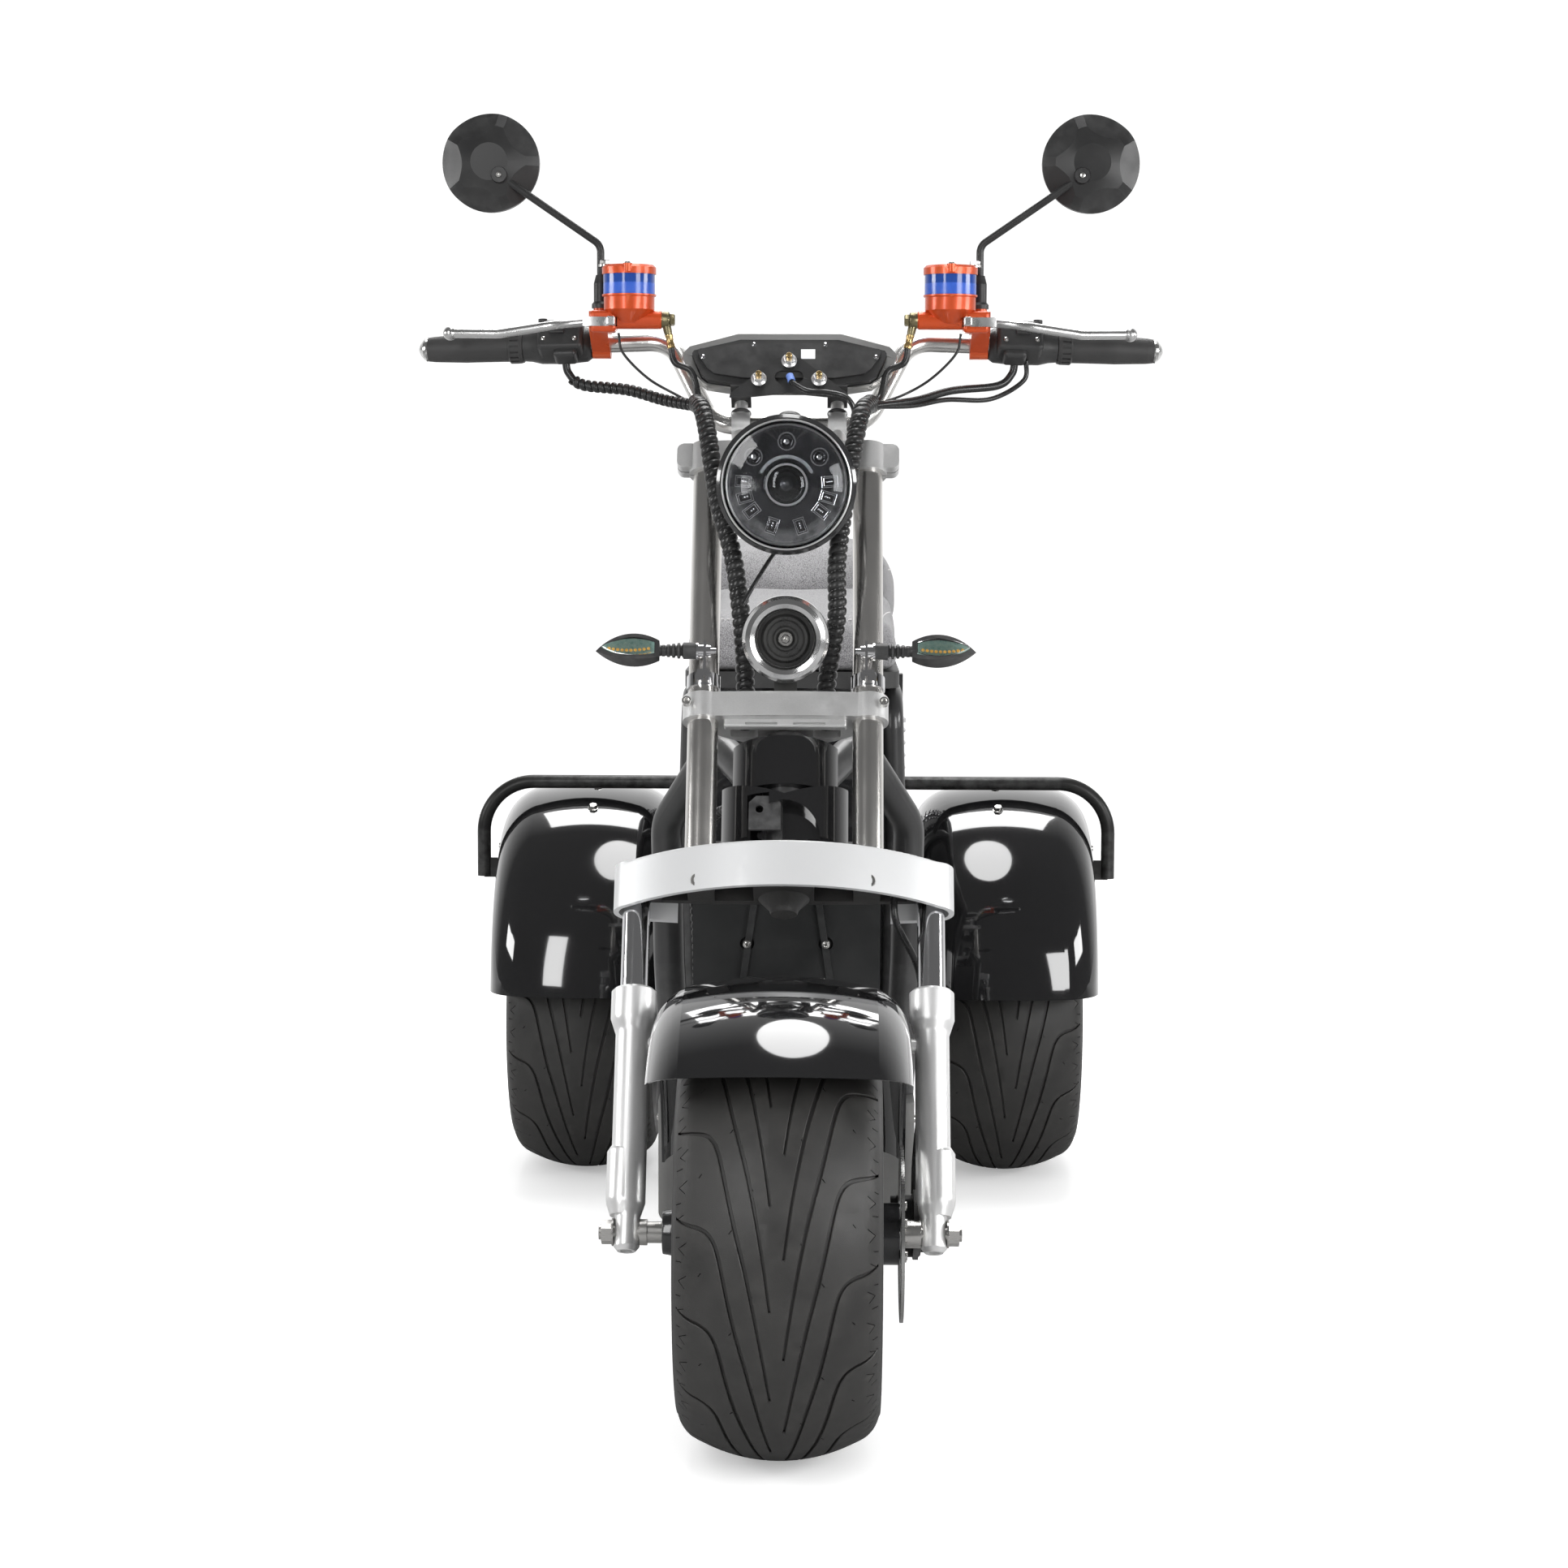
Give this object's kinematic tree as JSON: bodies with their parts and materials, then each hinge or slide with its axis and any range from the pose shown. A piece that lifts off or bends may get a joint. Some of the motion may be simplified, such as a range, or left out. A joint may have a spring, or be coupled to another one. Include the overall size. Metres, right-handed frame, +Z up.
{
  "type": "three-wheeled electric scooter",
  "caption": "Electric scooter with one steered front wheel, twin-tube raked fork, stepped seat and two rear wheels under deep mudguards with tube rails.",
  "frame": {"origin": "on the floor under the middle of the overall length and width", "axes": "+Z up, the vehicle faces -Y, +X is its left side"},
  "size_m": [0.954, 1.9671, 1.4837],
  "materials": {
    "tyre": "matt rubber",
    "rim_black": "gloss",
    "disc_steel": "ground",
    "cast_black": "rough cast, painted",
    "cover_silver": "satin",
    "cast_aluminium": "blasted",
    "polished_tube": "polished",
    "chrome": "polished",
    "satin_aluminium": "satin",
    "gloss_black": "high gloss",
    "caliper_black": "satin",
    "lamp_black": "gloss",
    "clear_lens": "clear",
    "black_plastic": "fine grain",
    "grip_rubber": "ribbed",
    "orange_metal": "anodised",
    "lever_silver": "polished",
    "frame_black": "powder coat",
    "panel_black": "satin",
    "floor_grey": "brushed grey",
    "deck_aluminium": "tread plate",
    "seat_leather": "grained",
    "shock_chrome": "polished",
    "tail_red": "clear red",
    "reservoir_blue": "clear blue",
    "cable_black": "spiral wrapped"
  },
  "bodies": {
    "chassis": {"head_tube": "frame_black", "frame_left": "frame_black", "frame_right": "frame_black", "head_shroud": "gloss_black", "front_panel": "panel_black", "floor_box": "floor_grey", "foot_deck": "deck_aluminium", "seat_body": "gloss_black", "seat_pan": "black_plastic", "driver_seat": "seat_leather", "passenger_seat": "seat_leather", "axle_housing": "frame_black", "rear_fender_left": "gloss_black", "rear_fender_right": "gloss_black", "guard_rails": "frame_black", "rear_shocks": "shock_chrome", "tail_lamp": "tail_red", "rear_calipers": "caliper_black", "frame_loom": "cable_black"},
    "steering": {"lower_crown": "cast_black", "crown_cover": "cover_silver", "middle_clamp": "cast_aluminium", "top_clamp": "cast_aluminium", "fork_tubes": "polished_tube", "stanchions": "chrome", "lower_legs": "satin_aluminium", "front_fender": "gloss_black", "fender_arms": "satin_aluminium", "front_axle": "polished_tube", "front_caliper": "caliper_black", "headlight": "lamp_black", "lamp_lens": "clear_lens", "lamp_ears": "cast_aluminium", "horn": "chrome", "turn_signals": "black_plastic", "handlebar": "polished_tube", "grips": "grip_rubber", "switch_housings": "black_plastic", "risers": "cast_aluminium", "brake_masters": "orange_metal", "brake_levers": "lever_silver", "mirrors": "black_plastic", "display": "black_plastic", "display_bracket": "frame_black", "lamp_reflector": "lamp_black", "signal_clamps": "chrome", "bar_ends": "lever_silver", "ignition_barrel": "black_plastic", "reservoirs": "reservoir_blue", "cables": "cable_black"},
    "front_wheel": {"front_tyre": "tyre", "front_rim": "rim_black", "front_disc": "disc_steel"},
    "rear_wheel_left": {"rear_tyre_left": "tyre", "rear_rim_left": "rim_black", "rear_disc_left": "disc_steel"},
    "rear_wheel_right": {"rear_tyre_right": "tyre", "rear_rim_right": "rim_black", "rear_disc_right": "disc_steel"}
  },
  "joints": [
    {"name": "steering", "type": "hinge", "parent": "chassis", "child": "steering", "pos_m": [0, -0.49838, 0.67314], "axis": [0, 0.4772, 0.8788], "range_deg": [-35, 35]},
    {"name": "front_wheel_spin", "type": "hinge", "parent": "steering", "child": "front_wheel", "pos_m": [0, -0.74575, 0.2385], "axis": [1, 0, 0], "continuous": true},
    {"name": "rear_wheel_left_spin", "type": "hinge", "parent": "chassis", "child": "rear_wheel_left", "pos_m": [0.317, 0.67425, 0.2385], "axis": [1, 0, 0], "continuous": true},
    {"name": "rear_wheel_right_spin", "type": "hinge", "parent": "chassis", "child": "rear_wheel_right", "pos_m": [-0.317, 0.67425, 0.2385], "axis": [1, 0, 0], "continuous": true}
  ]
}
